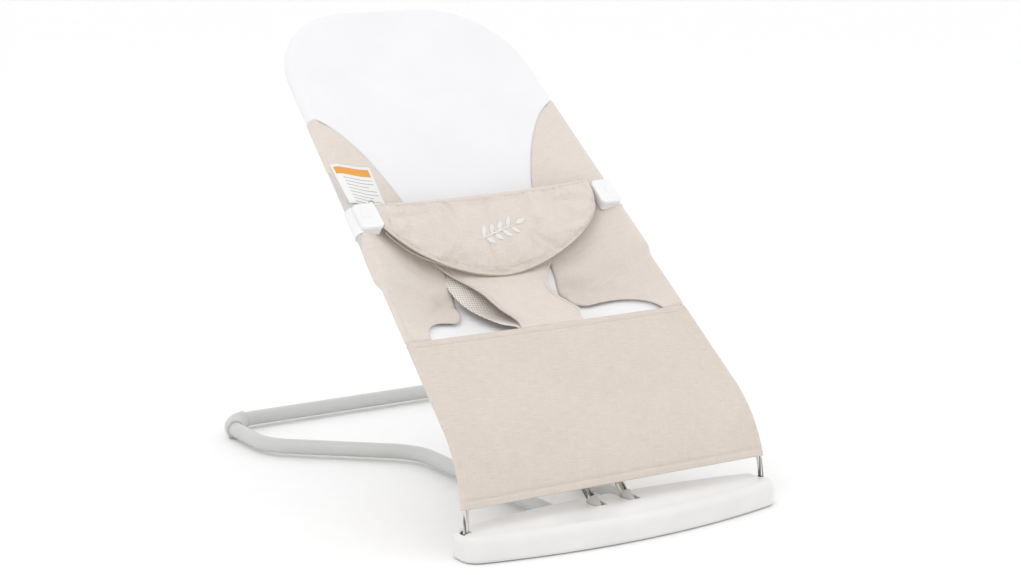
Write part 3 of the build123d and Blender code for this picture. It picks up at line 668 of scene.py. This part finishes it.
def lower_cloth():
    """The front panel over the knee, hemmed at its foot, wrapped round both wires."""
    v = np.concatenate([np.linspace(LAP_V, 0, 80), np.linspace(0, HEM_V, 64)[1:]])
    share = np.linspace(-1, 1, 81)
    edge, rest = half(v), WIRE_R + 1.6
    u = edge[:, None] * share
    vv = np.repeat(v[:, None], 81, 1)
    front = place(u, vv, lower_n(u, vv))
    strips = []
    for side in (-1, 1):
        out = np.full(len(v), float(side))
        strip = wrap_strip(side * edge, v, out, out * 0, rest, 90.0, -90.0, 12)[:, 1:]
        inward = side * (edge[:, None] - np.linspace(3, 12, 4))
        tuck = place(inward, vv[:, :4], np.full((len(v), 4), -rest + 0.2))
        strips.append(np.concatenate([strip, tuck], 1))
    points = np.concatenate([strips[0][:, ::-1], front, strips[1]], 1)
    return thicken(grid_piece("lower_cloth", points, flip=True), 1.5, offset=-1)


# ------------------------------------------------------------------ stitches
def stitch_row(path, length=2.6, gap=1.5, radius=0.34, lift=0.15):
    """Separate raised stitches along a path of seat coordinates (u, v, n) in millimetres."""
    path = np.asarray(path, float)
    world = place(*path.T) * 1000
    run = np.concatenate([[0], np.cumsum(np.linalg.norm(np.diff(world, axis=0), axis=1))])
    count = int(run[-1] // (length + gap))
    parts = []
    for k in range(count):
        at = k * (length + gap) + np.array([0, 0.25, 0.75, 1]) * length
        u, v, n = (np.interp(at, run, path[:, c]) for c in range(3))
        points = place(u, v, n + lift + np.array([-0.5, 0.1, 0.1, -0.5]) * radius)
        parts.append(tube_parts(points, radius * np.array([0.6, 1, 1, 0.6]) / 1000, 6))
    return parts


def lower_stitches():
    """Hem and lap rows of the front panel."""
    parts = []
    for v in (HEM_ROW, LAP_ROW):
        u = np.linspace(-0.97, 0.97, 160) * half(v)
        parts += stitch_row(np.stack([u, np.full(160, v), lower_n(u, np.full(160, v))], 1))
    return joined("lower_stitches", parts)


# ------------------------------------------------------------------ harness
BELT_HALF, BELT_TOP_V, BELT_THICK = 147.0, 306.0, 8.0
BELT_PRESSURE, BELT_EXCESS, BELT_SWELL = 4.0, 0.05, 6.0     # filling: pressure, spare cloth, farthest move
# rows of the crotch strap and of its mesh lining: (v, left edge, right edge, n)
STRAP = [(106, -40, 43, 0.9), (113.5, -39, 43, 2.4), (121, -37.5, 44, 1.6), (136, -37.5, 52, -4.4),
         (150, -41, 48, -10), (166, -44, 42, -15), (182, -46, 42, -20), (201, -53, 50, -25.5),
         (217, -65, 63, -28), (232, -76, 76, -28.5), (246, -84, 84, -27)]
LINING = [(106, -36, 36, -1.6), (121, -40, 36, -4), (134, -47, 36, -15), (150, -52, 36, -26),
          (168, -59, 36, -33.5), (181, -66, 38, -36), (196, -73, 42, -36.5), (212, -77, 48, -36),
          (238, -73, 52, -34), (262, -70, 56, -30)]


def belt_middle(share, t):
    """Middle surface of the belt: share runs across, t from the top edge to the lower one."""
    top_n, low_n = 9 + 5 * share ** 2, -20 + 34 * share ** 2
    low_v = 211 + 50 * np.abs(share) ** 1.7 + 11 * np.abs(share) ** 8
    top_v = BELT_TOP_V + 2.4 * share
    v = top_v + (low_v - top_v) * t
    rounded = 1 - 0.06 * t ** 2 * np.maximum(share, 0) ** 8
    return BELT_HALF * share * rounded, v, top_n + (low_n - top_n) * t - BELT_THICK / 2


def belt_folds(u, v):
    a = np.abs(u)
    w = -1.9 * bump(a, v, 118, 262, 34, 3.6, 12) + 1.2 * bump(a, v, 112, 272, 36, 6, 8)
    w = w - 1.4 * bump(a, v, 104, 288, 34, 3.4, -6) - 1.1 * bump(u, v, -60, 240, 30, 4, 30)
    w = w - 1.2 * bump(u, v, 66, 236, 26, 4, -34) - 0.9 * bump(u, v, 8, 296, 60, 4, 2)
    return w - 1.2 * bump(u, v, -14, 228, 4, 15, 10) - 1.2 * bump(u, v, -48, 278, 5, 20, 14)


def pressed_out(obj, held, press, excess, cap, frames=20):
    """Cloth under pressure from inside, held at some of its points; a point moves no further than the cap."""
    scene = bpy.context.scene
    count = len(obj.data.vertices)
    before, after = np.zeros(count * 3), np.zeros(count * 3)
    obj.data.vertices.foreach_get("co", before)
    obj.vertex_groups.new(name="held").add(held, 1.0, "ADD")
    cloth = obj.modifiers.new("cloth", "CLOTH")
    settings = cloth.settings
    settings.quality, settings.mass, settings.air_damping = 6, 0.2, 2.0
    settings.vertex_group_mass = "held"
    settings.use_pressure, settings.uniform_pressure_force = True, press
    settings.shrink_min = -excess
    settings.tension_stiffness = settings.compression_stiffness = 25
    settings.bending_stiffness = 1.5
    settings.effector_weights.gravity = 0
    cloth.collision_settings.use_collision = False
    cloth.point_cache.frame_start, cloth.point_cache.frame_end = 1, frames
    for frame_number in range(1, frames + 1):
        scene.frame_set(frame_number)
    baked(obj)
    scene.frame_set(1)
    obj.data.vertices.foreach_get("co", after)
    moved = (after - before).reshape(-1, 3)
    far = np.linalg.norm(moved, axis=1)[:, None]
    moved *= np.minimum(1, cap / 1000 / np.maximum(far, 1e-9))
    obj.data.vertices.foreach_set("co", before + moved.ravel())
    obj.data.update()


def belt():
    cols, rows = 121, 33
    share = np.linspace(-1, 1, cols)[None, :]
    t = (0.5 - 0.5 * np.cos(np.linspace(0, math.pi, rows)))[:, None]
    u, v, n = belt_middle(share, t + 0 * share)
    u = u + 0 * v
    puff = np.maximum(1 - (2 * t - 1) ** 6, 0) ** 0.5 * np.maximum(1 - np.abs(share) ** 30, 0) ** 0.5
    thick = (BELT_THICK / 2 - 0.8) * puff + 0.5
    crown = 2.0 * (1 - (2 * t - 1) ** 2) * (1 - 0.5 * share ** 2)
    front = place(u, v, n + thick + crown + belt_folds(u, v) * puff)
    back = place(u, v, n - thick + 0.4 * crown)
    obj = joined("belt", [grid_part(front), grid_part(back, flip=True)])
    work = bmesh.new()
    work.from_mesh(obj.data)
    work.verts.ensure_lookup_table()
    total = rows * cols
    ring = ([(0, c) for c in range(cols)] + [(r, cols - 1) for r in range(1, rows)]
            + [(rows - 1, c) for c in range(cols - 2, -1, -1)] + [(r, 0) for r in range(rows - 2, 0, -1)])
    for (r0, c0), (r1, c1) in zip(ring, ring[1:] + ring[:1]):
        a, b = r0 * cols + c0, r1 * cols + c1
        work.faces.new([work.verts[i] for i in (b, a, total + a, total + b)])
    bmesh.ops.recalc_face_normals(work, faces=work.faces)
    work.to_mesh(obj.data)
    work.free()
    row, col = np.divmod(np.arange(total), cols)
    rim = (row < 4) | (row >= rows - 4) | (col < 3) | (col >= cols - 3)
    held = [int(i) for i in np.flatnonzero(rim)] + list(range(total, 2 * total))
    pressed_out(obj, held, BELT_PRESSURE, BELT_EXCESS, BELT_SWELL)
    obj.data.polygons.foreach_set("use_smooth", [True] * len(obj.data.polygons))
    return obj


def on_top(tree, u, v, else_n):
    """Height n at which a line along the seat's normal first meets a surface."""
    u, v, else_n = np.broadcast_arrays(np.asarray(u, float), v, else_n)
    found = np.array(else_n, float)
    for index in np.ndindex(found.shape):
        start = Vector(place(u[index], v[index], 60.0))
        hit = tree.ray_cast(start, Vector(-NORMAL))
        if hit[0] is not None:
            found[index] = 60.0 - hit[3] * 1000
    return found


def belt_edge(t, drop=0.0):
    share = np.linspace(-1, 1, 160)
    u, v, n = belt_middle(share, np.full(160, t))
    return np.stack([u, v, n - drop], 1)


def belt_piping():
    """A fine bound edge along the top and the lower edge."""
    return joined("belt_piping", [tube_parts(place(*belt_edge(t).T), 0.0014, 10) for t in (0.0, 1.0)])


def belt_shadow_line():
    """Painted shadow: a dark line just below the lower piping, standing in for the shade under the belt's lower
    edge; it drops away at the left end.
    """
    edge = belt_edge(1.0, drop=1.0)
    left = smooth(-edge[:, 0], 70, 132)
    edge[:, 1] -= 1.6 + 5.5 * left
    edge[:, 2] -= 2.0 * left
    return joined("belt_shadow_line", [tube_parts(place(*edge.T), 0.0009, 8)])


def belt_loop():
    """Small dark thread loop at the belt's upper left corner."""
    a = np.linspace(0, 1.6 * math.pi, 14)
    path = place(-BELT_HALF - 2 + 3.2 * np.cos(a), BELT_TOP_V - 1 + 3.6 * np.sin(a), 13 + 0 * a)
    return joined("belt_loop", [tube_parts(path, 0.0006, 6)])


def belt_stitches(tree):
    parts = []
    share = np.linspace(-0.985, 0.985, 260)
    for t in (0.055, 0.945):
        u, v, n = belt_middle(share, np.full(260, t))
        parts += stitch_row(np.stack([u, v, on_top(tree, u, v, n + 3.5)], 1))
    return joined("belt_stitches", parts)


def leaf(tree, u0, v0, turn, length, width):
    """One satin-stitch leaf on the belt, slightly domed."""
    along = np.linspace(0, 1, 12)[:, None]
    across = np.linspace(-1, 1, 7)[None, :]
    half_width = width / 2 * np.sin(math.pi * along ** 0.85)
    a, b = along * length + 0 * across, across * half_width
    c, s = math.cos(math.radians(turn)), math.sin(math.radians(turn))
    u, v = u0 + a * c - b * s, v0 + a * s + b * c
    n = on_top(tree, u, v, 0.0) + 0.3 + 0.5 * (1 - across ** 2) * np.sin(math.pi * along)
    return grid_part(place(u, v, n))


def motif(tree):
    """A plain leaf sprig in the middle of the belt."""
    parts = [leaf(tree, -30, 247, 14, 58, 2.2)]
    for u in (-23, -11, 1, 13):
        v = 248.5 + 0.25 * (u + 23)
        parts.append(leaf(tree, u, v + 0.6, 66, 15.0, 6.4))
        parts.append(leaf(tree, u + 4, v + 0.2, -38, 13.5, 6.0))
    parts.append(leaf(tree, 25, 261, 16, 15, 6.4))
    return thicken(joined("belt_motif", parts), 0.4, offset=0)


def strap_rows(table, count):
    rows = np.array(table, float)
    v = np.linspace(rows[0, 0], rows[-1, 0], count)
    return (v, *(through(rows[:, 0], rows[:, k], v) for k in (1, 2, 3)))


def crotch_strap():
    v, left, right, n = (a[:, None] for a in strap_rows(STRAP, 78))
    share = np.linspace(0, 1, 41)[None, :]
    u = left + (right - left) * share
    v = v + 0 * share
    from_edge = np.minimum(u - left, right - u)
    crown = 1.2 * (1 - (2 * share - 1) ** 2) - 0.8 * np.exp(-((from_edge - 4) / 1.1) ** 2)
    n = n + crown * smooth(v, 110, 124)
    n = n - 1.1 * bump(u, v, 6, 160, 5, 30, 10) + 0.7 * bump(u, v, -22, 176, 6, 30, -24)
    return thicken(grid_piece("strap_cloth", place(u, v, n)), 2.0)


def crotch_stitches():
    v, left, right, n = strap_rows(STRAP[2:], 140)
    parts = []
    for u in (left + 4, right - 4):
        parts += stitch_row(np.stack([u, v, n - 0.2], 1))
    return joined("crotch_stitches", parts)


def mesh_lining():
    v, left, right, n = (a[:, None] for a in strap_rows(LINING, 48))
    share = np.linspace(0, 1, 71)[None, :]
    u = left + (right - left) * share
    v = v + 0 * share
    n = n + 0.9 * np.sin(v / 9 + u / 25) * smooth(share, 0.35, 0) * smooth(v, 112, 135)
    return thicken(grid_piece("mesh_lining_net", place(u, v, n)), 1.0, offset=0)


# ------------------------------------------------------------------ label
RULES, RULE_TOP_V, RULE_STEP, RULE_WIDTH = 8, 350.0, 5.2, 0.8


def label_patch(name, u0, u1, v0, v1, lift, thickness, material):
    u, v = np.meshgrid(np.linspace(u0, u1, 21), np.linspace(v0, v1, 15))
    curl = 0.8 * np.exp(-((v - 314) / 7) ** 2)
    obj = thicken(grid_piece(name, place(u, v, hollow_n(u, v) + lift + curl)), thickness)
    return dress(obj, material, "seat")


# ------------------------------------------------------------------ make and dress the pieces
back = dress(back_cloth(), white_knit, "seat", ["upper_back_panel"])
seat = dress(seat_cloth(), pale_linen, "seat", ["seat_panel"])
cover = dress(rear_cover(), painted_light_cover_knit, "seat", ["seat_liner"])
lower = dress(lower_cloth(), linen, "seat", ["lower_panel"])
lower_thread = dress(lower_stitches(), thread_pale, "seat")
belt_pad = dress(belt(), pale_linen, "harness", ["waist_belt"])
belt_top = BVHTree.FromPolygons([v.co.copy() for v in belt_pad.data.vertices],
                                [tuple(p.vertices) for p in belt_pad.data.polygons])
piping = dress(belt_piping(), pale_linen, "harness")
# painted shadow: a dark line under the belt's lower edge
rim = dress(belt_shadow_line(), dark_thread_and_shadow, "harness")
loop = dress(belt_loop(), dark_thread_and_shadow, "harness")
belt_thread = dress(belt_stitches(belt_top), thread_pale, "harness")
sprig = dress(motif(belt_top), motif_thread, "harness")
strap = dress(crotch_strap(), pale_linen, None, ["crotch_strap"])
strap_thread = dress(crotch_stitches(), thread_pale, None)
net = dress(mesh_lining(), mesh_net, None, ["mesh_lining"])
tag = label_patch("label_cloth", -174, -117, 310, 371, 1.2, 0.5, label_cloth)
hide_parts("sewn_label")
header = label_patch("label_band", -171, -122, 356, 366.5, 1.4, 0.4, label_orange)
rules = []
for k in range(RULES):
    low = RULE_TOP_V - RULE_STEP * k
    right = -123 - 9 * (k % 3 == 2)
    rules.append(label_patch(f"label_rule_{k}", -164, right, low, low + RULE_WIDTH, 1.35, 0.25, label_ink))
for piece in (strap, strap_thread, net):
    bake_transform(piece)
soft_pieces = [back, seat, cover, lower, lower_thread, belt_pad, piping, rim, loop, belt_thread, sprig, strap,
               strap_thread, net, tag, header, *rules]
for piece in soft_pieces:
    cloth_uv(piece)

# ------------------------------------------------------------------ light and floor
world = bpy.data.worlds.new("studio")
world.use_nodes = True
background = world.node_tree.nodes["Background"]
background.inputs["Color"].default_value = (1, 1, 1, 1)
background.inputs["Strength"].default_value = 1.06
bpy.context.scene.world = world
bpy.context.scene.view_settings.view_transform = "Standard"


def soft_light(name, at, target, size, power):
    data = bpy.data.lights.new(name, "AREA")
    data.shape, data.size, data.energy = "DISK", size, power
    obj = bpy.data.objects.new(name, data)
    obj.location = at
    obj.rotation_mode = "QUATERNION"
    obj.rotation_quaternion = (Vector(target) - Vector(at)).to_track_quat("-Z", "Y")
    bpy.context.scene.collection.objects.link(obj)


soft_light("key", (-1.4, -0.6, 2.6), (0, 0, 0.2), 1.4, 9)
soft_light("fill", (1.8, -1.4, 1.6), (0, 0, 0.2), 1.8, 3)

FLOOR = 8.0                 # half the floor's width, in metres
floor_mesh = bpy.data.meshes.new("floor")
floor_mesh.from_pydata([(-FLOOR, -FLOOR, 0), (FLOOR, -FLOOR, 0), (FLOOR, FLOOR, 0), (-FLOOR, FLOOR, 0)], [],
                       [(0, 1, 2, 3)])
floor = bpy.data.objects.new("floor", floor_mesh)
bpy.context.scene.collection.objects.link(floor)
floor_material, floor_tree, floor_shader = new_material("floor_paper", (0.93, 0.93, 0.93), 0.6)
paper = noise(floor_tree, add(floor_tree, "ShaderNodeTexCoord").outputs["Object"], 40.0, 4.0)
paper = remap(floor_tree, paper, 0.3, 0.7)
floor_tree.links.new(between(floor_tree, paper, (0.925, 0.925, 0.925), (0.94, 0.94, 0.94)),
                     floor_shader.inputs["Base Color"])
floor_mesh.materials.append(floor_material)
